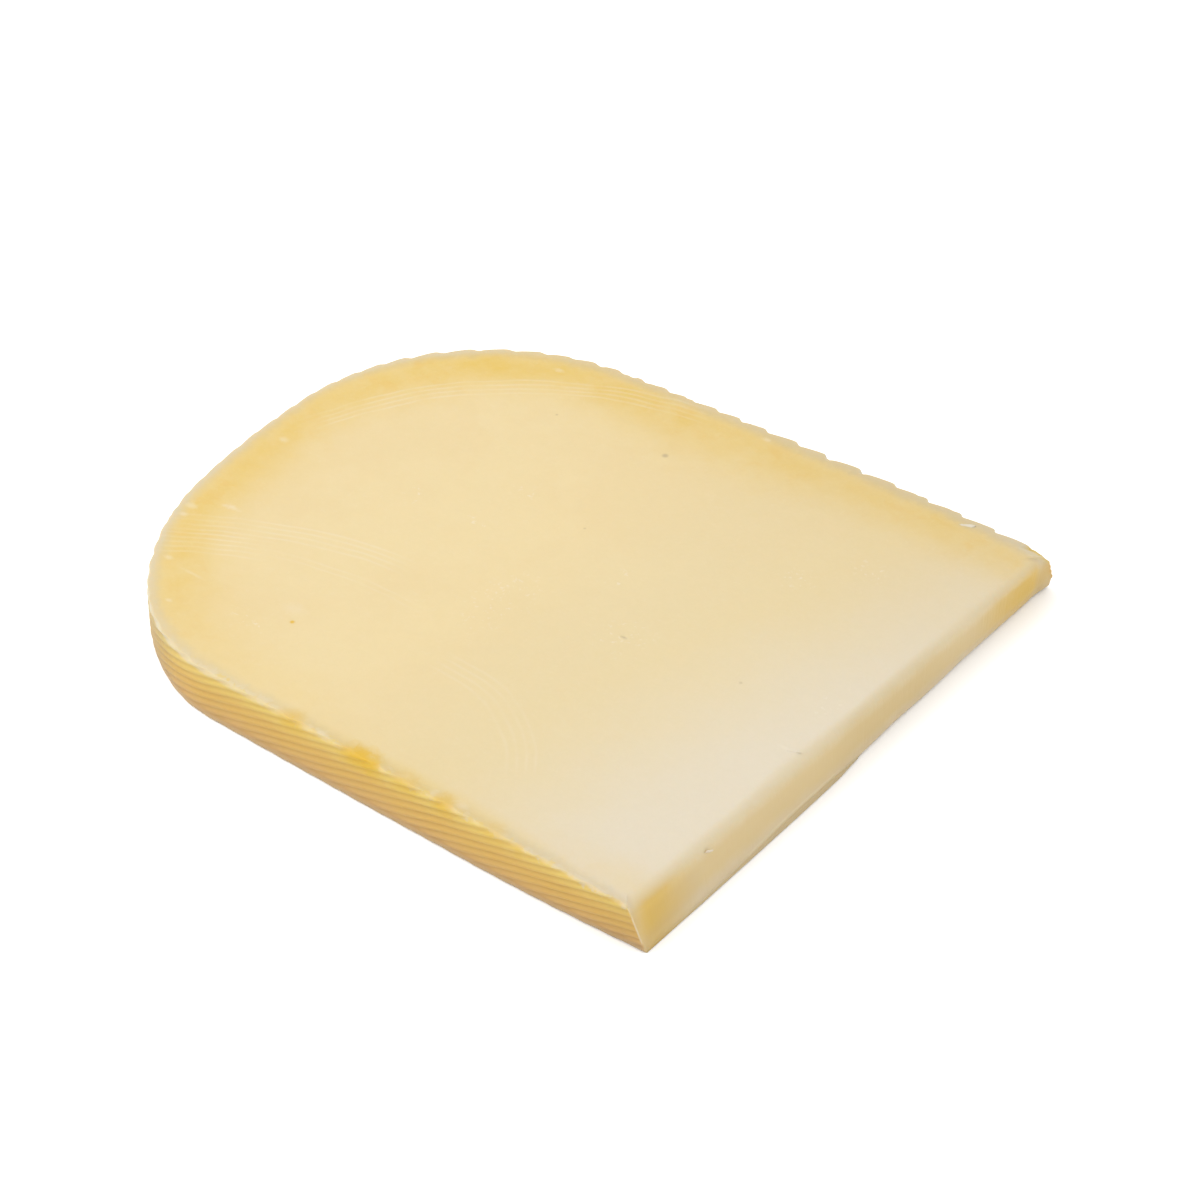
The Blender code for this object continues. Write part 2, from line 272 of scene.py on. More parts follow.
# The whole slab as one closed surface: each row is a ring round the outline, from a pole
# under the slab, over the foot, up the wall, over the edge and in to a pole on top. A ring
# is drawn in by moving every point straight at the middle, inset / distance of the share.
def slabSurface():
    place, outward, along, onRind = closedOutline()
    middle = complex(*slab["middle"])
    spoke = place - middle
    square = spoke.real * outward.real + spoke.imag * outward.imag
    top = thicknessAt(place.real)
    nearCorner = np.exp(-(abs(place - complex(0.0, slab["halfHeight"])) / slab["cornerReach"]) ** 2)
    rindEdge = 0.001 * rindAt("edge", along) * (1.0 + 0.45 * swell(along, 0 * top, 0.006, 12))
    cutEdge = slab["cutEdge"] * (1.0 + 0.22 * swell(place.imag, 0 * top, 0.03, 3))
    edge = cutEdge + (rindEdge - cutEdge) * onRind
    edge = edge + (slab["cornerEdge"] - edge) * nearCorner
    cutRounding = 0.001 * np.interp(place.imag, cutFoot["across"], cutFoot["rounding"])
    foot = cutRounding + (slab["footEdge"] - cutRounding) * onRind
    foot = foot + (slab["cornerFoot"] - foot) * nearCorner
    lipTop = 0.001 * np.interp(place.imag, cutFoot["across"], cutFoot["lip"]) * (1.0 - onRind)
    flat = 0 * top

    rows = []   # each row: its inset, its height, its share of the way out, its wall share
    for share in grid["underRings"]:
        rows.append((foot, flat, share, 0.0))
    for turn in np.radians(np.linspace(0.0, 90.0, grid["footRows"], endpoint=False)):
        rows.append((foot * (1 - math.sin(turn)), foot * (1 - math.cos(turn)), 1.0, math.sin(turn)))
    low = np.linspace(0.0, 0.17, grid["lowRows"], endpoint=False)
    for share in np.append(low, np.linspace(0.17, 1.0, grid["wallRows"])):
        rows.append((flat, foot + (top - edge - foot) * share, 1.0, 1.0))
    for turn in np.radians(np.linspace(0.0, 90.0, grid["edgeRows"] + 1)[1:]):
        rows.append((edge * (1 - math.cos(turn)), top - edge + edge * math.sin(turn), 1.0, math.cos(turn)))
    for share in grid["topRings"]:
        rows.append((edge, top, share, 0.0))
    inset = np.array([row[0] for row in rows])
    height = np.array([row[1] for row in rows])
    share = np.array([row[2] for row in rows])[:, None]
    wall = np.array([row[3] for row in rows])[:, None]

    # grooves, standing ridges, slow wander, and the chips along the top edge
    drop = top - np.minimum(height, top)
    reach = smoothRamp(drop, 0.0032, 0.0006)
    depth = grooveDepth(along[None, :], drop) * onRind
    slow, quick = swell(along[None, :], height * 2, 0.034, 8), swell(along, flat, 0.011, 45)
    strength = 0.80 + 0.14 * slow + 0.20 * quick
    lowDepth = grooves["lowDepth"] + (1.0 - grooves["lowDepth"]) * smoothRamp(along, 0.180, 0.225)
    deep = 0.001 * rindAt("depth", along) * (lowDepth + (1.0 - lowDepth) * reach)
    awayFromFoot = smoothRamp(height, 0.0003, 0.0025)
    atFoot = 0.3 + 0.7 * awayFromFoot - 0.3 * nearCorner * (1.0 - awayFromFoot)
    inset = inset + deep * depth * strength * atFoot
    footOut = np.interp(along, rindFoot["along"], rindFoot["standOut"])
    standOut = footOut + (rindAt("standOut", along) - footOut) * awayFromFoot
    inset = inset - 0.001 * standOut * onRind
    rindSlack = slab["rindWobble"] * (0.5 + 0.5 * swell(along[None, :], height * 2, 0.045, 21))
    cutSlack = slab["cutWobble"] * (0.5 + 0.5 * swell(place.imag[None, :], height * 1.5, 0.019, 22))
    inset = inset + (rindSlack * onRind + cutSlack * (1.0 - onRind)) * (1.0 - nearCorner)
    broken = smoothRamp(swell(along[None, :], drop, 0.0042, 44), 0.25, 1.0) * onRind
    broken = broken * (0.4 + 0.6 * smoothRamp(along, 0.130, 0.110))
    inset = inset + slab["chips"] * broken * smoothRamp(drop, 0.0013, 0.0)

    # the lip under the arched foot stands out
    overLip = (height - lipTop) * 1000
    underLip = smoothRamp(overLip, 0.07, -0.07) * smoothRamp(lipTop, 0.0001, 0.0005)
    inset = inset - cutFoot["standOut"] * underLip * (share >= 1.0)
    setIn = 0.001 * np.interp(place.imag, cutFoot["across"], cutFoot["setIn"]) * (1.0 - onRind)
    inset = inset + setIn * (1.0 - nearCorner) * smoothRamp(height, 0.0035, 0.0)
    ring = middle + spoke * (1.0 - inset / square) * share

    z = np.where(share < 1.0, hollowAt(ring), height)
    ringTop = thicknessAt(ring.real)
    z = np.where(height >= top - 1e-9, ringTop, z)
    wave = slab["topWave"] * (1.0 + swell(ring.real, ring.imag, 0.05, 31))
    z = z - wave * smoothRamp(z / ringTop, 0.5, 1.0)

    x, y = leant(ring, 1.0 - z / ringTop, place)
    spread = 0 * x
    return {"x": x, "y": y, "z": z, "wall": wall + spread, "onRind": onRind + spread, "groove": depth,
            "overLip": np.where(lipTop > 0.0001, overLip, 9.0) + spread}


# Distance in from the rind's edge, and the distance along the rind where it is nearest.
def rindGap(x, y):
    distance = np.linspace(0.0, rindLength, 190)
    place, outward = rindOutline(distance)
    spot = (x + 1j * y).ravel().astype(np.complex64)
    nearest = np.abs(spot[:, None] - place.astype(np.complex64)[None, :]).argmin(axis=1)
    back = place[nearest] - spot
    gap = back.real * outward[nearest].real + back.imag * outward[nearest].imag
    return np.maximum(gap, 0.0).reshape(x.shape), distance[nearest].reshape(x.shape)


# The ripened band inside the rind, by the distance along it: how far it reaches in beyond
# its core, and how strong it is.
ripeBand = {
    "along":    (0.005, 0.020, 0.035, 0.050, 0.065, 0.080, 0.095, 0.110, 0.125, 0.140, 0.155,
                 0.170, 0.185, 0.200, 0.215, 0.230, 0.245, 0.260, 0.300, 0.323),
    "width":    (6.0, 5.5, 6.5, 8.5, 9.5, 8.0, 7.0, 7.5, 7.5, 7.5, 6.0,
                 7.5, 5.5, 6.5, 8.0, 8.0, 6.0, 5.0, 4.0, 4.0),
    "strength": (0.57, 0.62, 0.58, 0.64, 0.68, 0.79, 0.85, 0.92, 0.92, 0.72, 0.71,
                 0.72, 0.73, 0.75, 0.54, 0.33, 0.19, 0.06, 0.08, 0.30),
    "core": 4.0, "rim": 1.9, "tail": 14.0,
    # a thin yellow rim along the front edge: its strength and how far it reaches in
    "frontAlong": (0.225, 0.245, 0.260, 0.275, 0.290, 0.305, 0.316, 0.323),
    "frontStrength": (0.00, 0.14, 0.26, 0.50, 0.48, 0.38, 0.30, 0.50),
    "frontReach": (3.0, 4.0, 4.5, 5.0, 6.0, 6.0, 4.5, 2.0),
}


# strength * (0.88 exp(-((gap - core) / width) ^ 2) + 0.12 exp(-gap / tail)), with the rim at
# the edge left paler: 1 - exp(-(gap / rim) ^ 1.7), or the front rim where that is stronger;
# the gap in millimetres
def ripeness(gap, along):
    width = np.interp(along, ripeBand["along"], ripeBand["width"])
    strength = np.interp(along, ripeBand["along"], ripeBand["strength"])
    fall = 0.88 * np.exp(-(np.maximum(gap - ripeBand["core"], 0.0) / width) ** 2)
    fall = fall + 0.12 * np.exp(-gap / ripeBand["tail"])
    band = strength * fall * (1.0 - 0.95 * np.exp(-(gap / ripeBand["rim"]) ** 1.7))
    front = np.interp(along, ripeBand["frontAlong"], ripeBand["frontStrength"])
    reach = np.interp(along, ripeBand["frontAlong"], ripeBand["frontReach"])
    return np.maximum(band, front * smoothRamp(gap / reach, 1.0, 0.0))


def putMesh(name, vertices, faces, layers=()):
    mesh = bpy.data.meshes.new(name)
    mesh.from_pydata(vertices, [], faces)
    for layer, values in layers:
        attribute = mesh.attributes.new(layer, "FLOAT", "POINT")
        attribute.data.foreach_set("value", np.asarray(values, np.float32))
    mesh.polygons.foreach_set("use_smooth", np.ones(len(mesh.polygons), bool))
    mesh.update()
    piece = bpy.data.objects.new(name, mesh)
    bpy.context.collection.objects.link(piece)
    return piece


# Rings of points joined into quads, with a fan of triangles at each pole.
def ringFaces(rowCount, columnCount):
    column = np.arange(columnCount)
    beside = (column + 1) % columnCount
    row = np.arange(rowCount - 1)[:, None] * columnCount
    above = row + columnCount
    quads = np.stack([row + column, row + beside, above + beside, above + column], -1)
    foot, head = rowCount * columnCount, rowCount * columnCount + 1
    last = (rowCount - 1) * columnCount
    under = np.stack([beside, column, np.full(columnCount, foot)], -1)
    over = np.stack([last + column, last + beside, np.full(columnCount, head)], -1)
    return quads.reshape(-1, 4).tolist() + under.tolist() + over.tolist()


def makeSlab():
    surface = slabSurface()
    boxCentre, plainCentre = complex(*(lowest + highest)[:2]) / 2, plainMiddle()
    gap, nearestAlong = rindGap(surface["x"], surface["y"])
    ripe = ripeness(gap * 1000, nearestAlong) * (1.0 - surface["wall"] * surface["onRind"])
    x, y, z = surface["x"].ravel(), surface["y"].ravel(), surface["z"].ravel()
    rowCount, columnCount = surface["x"].shape
    poleX, poleY = slab["middle"]
    vertices = np.stack([x, y, z], -1)
    poles = [[poleX, poleY, 0.0], [poleX, poleY, float(surface["z"][-1].mean())]]
    vertices = np.concatenate([vertices, poles])
    vertices[:, 0] += boxCentre.real - plainCentre.real
    vertices[:, 1] += boxCentre.imag - plainCentre.imag
    low, high = vertices.min(axis=0), vertices.max(axis=0)
    layers = []   # each layer's values at the rings' points, then its value at both poles
    for name, values, atPole in (("wall", surface["wall"], 0.0), ("onRind", surface["onRind"], 0.0),
                                 ("ripe", ripe, 0.0), ("groove", surface["groove"], 0.0),
                                 ("rindGap", gap * 1000, 50.0), ("along", nearestAlong * 1000, 0.0),
                                 ("overLip", surface["overLip"], 9.0)):
        layers.append((name, np.append(values.ravel(), [atPole, atPole])))
    piece = putMesh("cheeseSlab", vertices, ringFaces(rowCount, columnCount), layers)
    print("slab made:", len(piece.data.vertices), "points,", low.round(5), high.round(5))
    return piece


class Value:
    # a node's output socket, on which + - * / and ** work as on numbers
    def __init__(self, graph, socket):
        self.graph, self.socket = graph, socket

    def __add__(self, other):
        return self.graph.maths("ADD", self, other)

    def __radd__(self, other):
        return self.graph.maths("ADD", other, self)

    def __sub__(self, other):
        return self.graph.maths("SUBTRACT", self, other)

    def __rsub__(self, other):
        return self.graph.maths("SUBTRACT", other, self)

    def __mul__(self, other):
        return self.graph.maths("MULTIPLY", self, other)

    def __rmul__(self, other):
        return self.graph.maths("MULTIPLY", other, self)

    def __truediv__(self, other):
        return self.graph.maths("DIVIDE", self, other)

    def __rtruediv__(self, other):
        return self.graph.maths("DIVIDE", other, self)

    def __pow__(self, other):
        return self.graph.maths("POWER", self, other)

    def __rpow__(self, other):
        return self.graph.maths("POWER", other, self)


class Graph:
    # the nodes of one material
    def __init__(self, name):
        self.material = bpy.data.materials.new(name)
        self.material.use_nodes = True
        self.nodes = self.material.node_tree.nodes
        self.links = self.material.node_tree.links
        self.nodes.clear()

    # adds a node of a type, makes its settings, then fills its sockets with values or links
    def add(self, kind, settings=None, sockets=None, output=0):
        node = self.nodes.new(kind)
        for name, value in (settings or {}).items():
            setattr(node, name, value)
        for key, value in (sockets or {}).items():
            if isinstance(value, Value):
                self.links.new(value.socket, node.inputs[key])
            elif node.inputs[key].type == "RGBA":
                node.inputs[key].default_value = (*value, 1.0)
            else:
                node.inputs[key].default_value = value
        return Value(self, node.outputs[output])

    def close(self, shader):
        output = self.nodes.new("ShaderNodeOutputMaterial")
        self.links.new(shader.socket, output.inputs["Surface"])
        return self.material

    def maths(self, operation, *values):
        return self.add("ShaderNodeMath", {"operation": operation}, dict(enumerate(values)))

    def layer(self, name):
        return self.add("ShaderNodeAttribute", {"attribute_name": name}, output="Fac")

    # 0 below low, 1 above high, smooth between; low may lie above high
    def ramp(self, value, low, high, top=1.0):
        return self.add("ShaderNodeMapRange", {"interpolation_type": "SMOOTHSTEP"},
                        {0: value, 1: low, 2: high, 3: 0.0, 4: top})

    def mix(self, factor, first, second, blend="MIX"):
        return self.add("ShaderNodeMix", {"data_type": "RGBA", "blend_type": blend},
                        {0: factor, 6: first, 7: second}, output=2)

    def noise(self, place, scale, detail=2.0, roughness=0.5, distortion=0.0):
        return self.add("ShaderNodeTexNoise", {},
                        {"Vector": place, "Scale": scale, "Detail": detail,
                         "Roughness": roughness, "Distortion": distortion})

    def stretch(self, place, scale, turn=0.0, shift=(0.0, 0.0, 0.0)):
        return self.add("ShaderNodeMapping", {},
                        {"Vector": place, "Location": shift, "Scale": scale,
                         "Rotation": (0.0, 0.0, math.radians(turn))})

    # how far x and y are from a spot, counted in the spot's half sizes
    def away(self, x, y, spotX, spotY, halfX=1.0, halfY=1.0):
        across, up = (x - spotX) / halfX, (y - spotY) / halfY
        return self.maths("SQRT", across * across + up * up)


colours = {
    "ivory": (0.506, 0.406, 0.222),     # the cut paste in the middle
    "warm": (0.499, 0.395, 0.213),      # slightly riper clouds in it
    "cool": (0.483, 0.394, 0.226),      # greyer paste to the right of the middle
    "pale": (0.473, 0.417, 0.320),      # paler paste towards the straight cut
    "grey": (0.944, 0.939, 0.939),      # the upper face's back and the cut's front are duller by this
    "ripe": (0.478, 0.330, 0.076),      # translucent ripened band inside the rind
    "deepRipe": (0.487, 0.297, 0.057),
    "rim": (0.850, 0.865, 0.910),       # the band's outer millimetre is duller by this
    "white": (0.544, 0.501, 0.406),     # knife burrs and dried flecks
    "stain": (0.462, 0.290, 0.028),     # oily orange-yellow stains
    "skinTop": (0.494, 0.364, 0.097),   # the rind below its top edge
    "skinMiddle": (0.446, 0.281, 0.072),
    "skinEdge": (0.440, 0.395, 0.290),  # its top edge, seen from the paste's side
    "skinFoot": (0.414, 0.258, 0.098),  # and at its foot
    "skinGroove": (0.330, 0.193, 0.050),   # darker in the grooves
    "skinLeft": (0.850, 0.880, 0.980),  # the rind round the left end is greyer by this
    "skinSideShade": (0.270, 0.200, 0.105),  # painted shade on it where it turns away at the left
    "skinFootShade": (0.900, 0.895, 0.930),  # painted shade: the rind just above its foot is darker by this
    "skinBaseShade": (0.372, 0.262, 0.142),  # painted shade: greyer at its foot
    "edgePale": (0.400, 0.372, 0.300),  # the upper edge round the back and the left end
    "corner": (0.900, 0.890, 0.890),    # the two upright corners are duller by this
    "cutTop": (0.512, 0.430, 0.277),    # the straight cut under its top edge
    "cutMiddle": (0.472, 0.361, 0.183),
    "cutFoot": (0.480, 0.389, 0.247),
    "cutRipe": (0.472, 0.309, 0.060),   # the ripened band where the cut crosses it
    "lip": (0.832, 0.790, 0.686),       # the lip under the cut is darker by this: painted shade under the overhang
    "lipHighlightTint": (0.515, 0.428, 0.268),   # painted highlight along the edge over the lip
    "cutShade": (0.955, 0.940, 0.890),  # the middle of the cut is duller by this
    "speckle": (0.984, 0.982, 0.978),   # fine mottling
    "dark": (0.209, 0.171, 0.114),      # specks, and painted shade in the pit
}

# how the paste takes light; its subsurface scale is in metres
finish = {
    "roughness": 0.47, "index": 1.45, "specular": 0.235, "relief": 0.6,
    "subsurface": 0.18, "radius": (1.0, 0.55, 0.25), "scale": 0.003,
}

# fine curved lines that the knife left in the upper face: the middle and radius of the
# innermost line, the step to the next, how many, and where round the middle they start
# and end, in millimetres and degrees
knifeMarks = (
    {"middle": (1.7, -11.0), "radius": 59.8, "step": 1.30, "count": 4,
     "start": 98, "end": 164, "show": 0.9},
    {"middle": (-9.2, -95.3), "radius": 78.6, "step": 1.30, "count": 4,
     "start": 97, "end": 126, "show": 0.8},
    {"middle": (-9.2, -95.3), "radius": 72.3, "step": 1.30, "count": 5,
     "start": 114, "end": 127, "show": 1.0},
    {"middle": (-14.0, -95.0), "radius": 71.9, "step": 1.30, "count": 2,
     "start": 86, "end": 110, "show": 0.5},
    {"middle": (3.8, -62.2), "radius": 29.8, "step": 1.50, "count": 4,
     "start": 34, "end": 92, "show": 0.5},
)

# the upper face's height at x = 0 and how it falls towards the straight cut, in millimetres
topHeight = {
    "middle": 500 * (slab["cutThickness"] + slab["bulgeThickness"]),
    "slope": (slab["bulgeThickness"] - slab["cutThickness"]) / slab["length"],
}

# what lies on the upper face, in millimetres: place, half size or sizes, and how strongly
# it shows
darkSpots = ((-4.4, 36.5, 0.55, 0.5), (-26.6, 34.4, 0.25, 0.35), (-1.9, 11.5, 0.25, 0.3),
             (43.1, -5.0, 0.3, 0.3))
pit = (21.5, -7.5, 0.9, 0.35)
paleSpots = (
    (-57.3, -25.0, 0.8, 0.5, 0.55), (-56.7, -27.6, 0.6, 0.4, 0.50), (-51.9, -21.1, 0.7, 0.5, 0.55),
    (-53.1, -21.5, 0.4, 0.3, 0.40), (-50.6, -21.0, 0.9, 0.3, 0.20), (-58.3, -1.0, 0.7, 0.5, 0.50),
    (-50.2, -37.9, 0.6, 0.4, 0.50), (-42.1, -46.3, 0.5, 0.3, 0.45), (-35.0, 45.3, 0.7, 0.4, 0.50),
    (6.3, 51.3, 0.6, 0.4, 0.45), (-44.0, -38.7, 1.6, 0.25, 0.35), (-24.6, -35.2, 1.6, 1.0, 0.20),
    (0.0, -56.3, 0.9, 0.8, 0.40), (17.0, -56.0, 0.9, 0.7, 0.45), (23.0, -55.9, 0.7, 0.6, 0.35),
    (28.0, -55.4, 1.0, 0.6, 0.40), (57.9, -13.6, 0.9, 0.25, 0.35),
)
# patches of faint flecks
fleckPatches = (
    (21.5, -7.5, 5.0, 5.0), (0.0, -12.5, 5.0, 9.0), (11.5, 4.4, 3.0, 2.5), (-16.0, 13.1, 2.5, 2.0),
    (-29.8, 1.3, 3.0, 2.5), (-17.0, 1.3, 2.5, 2.0), (42.0, 31.9, 3.5, 3.0), (34.0, 22.5, 3.0, 3.0),
    (57.0, -1.3, 2.5, 3.5), (-28.5, -42.5, 4.0, 2.5),
)
# oily stains on the front edge, and a speck
stains = (
    (8.3, -57.2, 5.0, 3.9, 1.0), (10.8, -57.2, 1.7, 2.0, 0.7), (-6.2, -56.7, 3.4, 3.2, 0.55),
    (17.6, -57.2, 3.2, 3.4, 0.50), (25.4, -57.3, 2.7, 3.4, 0.62), (35.6, -57.5, 3.0, 3.0, 0.32),
    (40.7, -57.5, 1.0, 1.3, 0.30), (-22.6, -38.0, 0.55, 0.55, 1.0),
)


# The lines of a set are a cosine of the distance from its middle, kept where the set runs.
def knifeLines(graph, place, x, y):
    marks = None
    stray = (graph.noise(place, 0.10, 1.0) - 0.5) * 1.2
    faint = graph.ramp(graph.noise(place, 0.18, 1.0), 0.35, 0.62) * 0.6 + 0.4
    for mark in knifeMarks:
        middleX, middleY = mark["middle"]
        reach = (graph.away(x, y, middleX, middleY) - mark["radius"]) / mark["step"] + stray
        line = (graph.maths("COSINE", reach * (2 * math.pi)) * 0.5 + 0.5) ** 3.0
        inside = graph.ramp(reach, -0.6, -0.2) * graph.ramp(reach, mark["count"] - 0.4, mark["count"] - 0.8)
        angle = graph.maths("ARCTAN2", y - middleY, x - middleX) * (180 / math.pi)
        stretch = graph.ramp(angle, mark["start"] - 3.0, mark["start"] + 5.0)
        stretch = stretch * graph.ramp(angle, mark["end"] + 3.0, mark["end"] - 5.0)
        line = line * inside * stretch * faint * mark["show"]
        marks = line if marks is None else graph.maths("MAXIMUM", marks, line)
    return marks


def pasteMaterial():
    graph = Graph("cheesePaste")
    place = graph.add("ShaderNodeVectorMath", {"operation": "SCALE"},
                      {0: graph.add("ShaderNodeTexCoord", output="Object"), "Scale": 1000.0})
    x = graph.add("ShaderNodeSeparateXYZ", {}, {0: place})
    y = Value(graph, x.socket.node.outputs["Y"])
    z = Value(graph, x.socket.node.outputs["Z"])
    wall, onRind = graph.layer("wall"), graph.layer("onRind")
    skin, cutFace = wall * onRind, wall * (1.0 - onRind)
    ripe, groove = graph.layer("ripe"), graph.layer("groove")
    gap, along = graph.layer("rindGap"), graph.layer("along")
    overLip = graph.layer("overLip")

    clouds = graph.noise(place, 0.045, 3.0, 0.55)
    patches = graph.noise(place, 0.09, 2.0)
    mottle = graph.noise(place, 0.22, 4.0, 0.6)
    ragged = graph.noise(place, 0.55, 4.0, 0.65, 0.6)
    grain = graph.noise(place, 1.6, 3.0, 0.6)
    onTop = graph.ramp(z, 8.6, 9.1) * (1.0 - skin) * (1.0 - cutFace)

    # the upper and lower cut faces: ivory, cooler and paler to the right, duller at the back
    cloudy = graph.ramp(clouds + (mottle - 0.5) * 0.25, 0.38, 0.62)
    tone = graph.mix(cloudy, colours["ivory"], colours["warm"])
    cool = graph.ramp(x + (clouds - 0.5) * 10.0, -8.0, 24.0) * (1.0 - graph.ramp(y, 0.0, 45.0) * 0.5)
    tone = graph.mix(cool, tone, colours["cool"])
    paleTowardsCut = graph.ramp(x + y * -0.21 + (clouds - 0.5) * 16.0, 30.0, 66.0)
    tone = graph.mix(paleTowardsCut, tone, colours["pale"])

    # the ripened band, patchy, with deeper streaks and a duller rim
    ripened = ripe * ((mottle - 0.5) * 0.9 + (patches - 0.5) * 0.5 + 1.0)
    tone = graph.mix(ripened, tone, colours["ripe"])
    deepStreaks = graph.ramp(graph.noise(place, 0.16, 3.0, 0.6, 0.5), 0.54, 0.68)
    tone = graph.mix(deepStreaks * ripe * 0.30, tone, colours["deepRipe"])
    tone = graph.mix(graph.ramp(x * 0.45 + y, 8.0, 78.0), tone, colours["grey"], "MULTIPLY")
    speckle = graph.ramp(ragged, 0.36, 0.64) * 0.6 + graph.ramp(grain, 0.40, 0.60) * 0.4
    tone = graph.mix(speckle, tone, colours["speckle"], "MULTIPLY")
    rim = graph.ramp(gap + (ragged - 0.5) * 3.0 + (mottle - 0.5) * 2.0, 3.0, 0.3)
    rim = rim * (graph.ramp(along, 120.0, 50.0) * 0.15 + 0.85)
    tone = graph.mix(rim, tone, colours["rim"], "MULTIPLY")
    leftLip = graph.ramp(gap + (ragged - 0.5) * 3.0, 2.2, 0.6) * graph.ramp(along, 150.0, 170.0)
    leftLip = leftLip * graph.ramp(along, 262.0, 246.0)
    tone = graph.mix(leftLip * 0.12, tone, colours["pale"])
    edgePale = graph.ramp(gap + (mottle - 0.5) * 1.5, 1.5, 0.2) * graph.ramp(along, 100.0, 125.0)
    edgePale = edgePale * graph.ramp(along, 218.0, 200.0)
    tone = graph.mix(edgePale * 0.30, tone, colours["edgePale"])

    marks = knifeLines(graph, place, x, y) * onTop
    tone = graph.mix(marks * 0.22, tone, colours["white"])

    # spots, flecks, and painted shade in the pit
    for spotX, spotY, radius, show in darkSpots:
        spot = graph.ramp(graph.away(x, y, spotX, spotY), radius * 1.5, radius * 0.3) * onTop
        tone = graph.mix(spot * show, tone, colours["dark"])
    torn = (graph.noise(place, 1.9, 3.0, 0.7) - 0.5) * 1.6
    for spotX, spotY, halfX, halfY, show in paleSpots:
        spot = graph.ramp(graph.away(x, y, spotX, spotY, halfX, halfY) + torn, 2.1, 0.2) * onTop
        tone = graph.mix(spot * (show * 0.55), tone, colours["white"])
    flecks = graph.ramp(graph.noise(place, 1.3, 2.0, 0.6), 0.58, 0.70) * onTop
    speckled = None
    for spotX, spotY, halfX, halfY in fleckPatches:
        patch = graph.ramp(graph.away(x, y, spotX, spotY, halfX, halfY), 1.3, 0.4)
        speckled = patch if speckled is None else graph.maths("MAXIMUM", speckled, patch)
    tone = graph.mix(flecks * (speckled * 0.26 + 0.04), tone, colours["white"])
    pitFloor = graph.ramp(graph.away(x, y, *pit), 1.0, 0.2) * onTop
    # painted shade in the pit
    tone = graph.mix(pitFloor * 0.30, tone, colours["dark"])

    # the straight cut: pale under its edge, golden where it crosses the ripened band, with painted
    # shade on the lip at its foot under a thin painted highlight
    cutRise = z + (mottle - 0.5) * 2.2
    cutTone = graph.mix(graph.ramp(cutRise, 6.2, 9.2), colours["cutMiddle"], colours["cutTop"])
    cutTone = graph.mix(graph.ramp(cutRise, 4.0, 0.8), cutTone, colours["cutFoot"])
    uneven = gap + (mottle - 0.5) * 4.0
    lower = graph.ramp(z, 5.0, 1.0)
    deepFront = graph.ramp(uneven, 17.0, 4.0) * graph.ramp(gap, -1.0, 4.5) * graph.ramp(y, 5.0, -5.0)
    deepFront = deepFront * graph.ramp(z, 9.6, 7.4) * (0.9 - lower * 0.25)
    deepBack = graph.ramp(uneven, 22.0, 4.0) * graph.ramp(y, -5.0, 5.0) * graph.ramp(z, 9.4, 6.6)
    tip = graph.ramp(gap, 2.4, 0.8) * (graph.ramp(z, 5.5, 8.0) * 0.45 + 0.35)
    deepBack = deepBack * (1.0 - lower * 0.4) * (1.0 - tip)
    deep = deepFront + deepBack
    cutTone = graph.mix(deep, cutTone, colours["cutRipe"])
    middleShade = graph.ramp(graph.maths("ABSOLUTE", y - 8.0), 22.0, 6.0)
    cutTone = graph.mix(middleShade, cutTone, colours["cutShade"], "MULTIPLY")
    frontShade = graph.ramp(graph.maths("ABSOLUTE", y + 48.0), 9.0, 4.0) * graph.ramp(z, 7.2, 5.6)
    cutTone = graph.mix(frontShade * graph.ramp(z, 1.2, 2.4) * 0.8, cutTone, colours["grey"], "MULTIPLY")
    cornerShade = graph.ramp(gap, 2.6, 0.2) * graph.ramp(z, 9.4, 7.0)
    cornerShade = graph.maths("MAXIMUM", cornerShade, graph.ramp(y, -44.0, -56.0) * lower * 0.6)
    cutTone = graph.mix(cornerShade, cutTone, colours["corner"], "MULTIPLY")
    # a painted highlight along the foot's edge, over the lip
    lipHighlight = graph.ramp(overLip, 0.0, 0.1) * graph.ramp(overLip, 0.7, 0.25)
    lipHighlight = lipHighlight * graph.ramp(graph.maths("ABSOLUTE", y + 18.0), 17.0, 9.0)
    cutTone = graph.mix(lipHighlight * 0.9, cutTone, colours["lipHighlightTint"])
    # painted shade on the lip under the overhang
    cutTone = graph.mix(graph.ramp(overLip, 0.05, -0.05), cutTone, colours["lip"], "MULTIPLY")

    # the rind: golden, browner downwards, with darker stripes along its grooves
    rise = z + (mottle - 0.5) * 2.4
    skinTone = graph.mix(graph.ramp(rise, 5.0, 9.6), colours["skinMiddle"], colours["skinTop"])
    skinTone = graph.mix(graph.ramp(rise, 5.2, 0.6), skinTone, colours["skinFoot"])
    darkInGrooves = graph.ramp(groove + (ragged - 0.5) * 0.5, 0.2, 0.95)
    skinTone = graph.mix(darkInGrooves * 0.20, skinTone, colours["skinGroove"])
    skinLeft = graph.ramp(along, 234.0, 216.0) * (graph.ramp(along, 150.0, 195.0) * 0.6 + 0.4)
    skinTone = graph.mix(skinLeft, skinTone, colours["skinLeft"], "MULTIPLY")
    # painted shade where the rind turns away at the left end
    skinSideShade = graph.ramp(along, 229.0, 216.0) * (graph.ramp(along, 160.0, 205.0) * 0.8 + 0.2)
    skinTone = graph.mix(skinSideShade * 0.45, skinTone, colours["skinSideShade"])
    skinEdge = graph.ramp(z, 8.5, 9.3) * graph.ramp(along, 262.0, 214.0)
    skinTone = graph.mix(skinEdge * 0.8, skinTone, colours["skinEdge"])
    # painted shade just above the rind's foot
    skinFootShade = graph.ramp(z, 2.0, 1.3) * graph.ramp(z, -0.3, 0.3)
    skinTone = graph.mix(skinFootShade, skinTone, colours["skinFootShade"], "MULTIPLY")
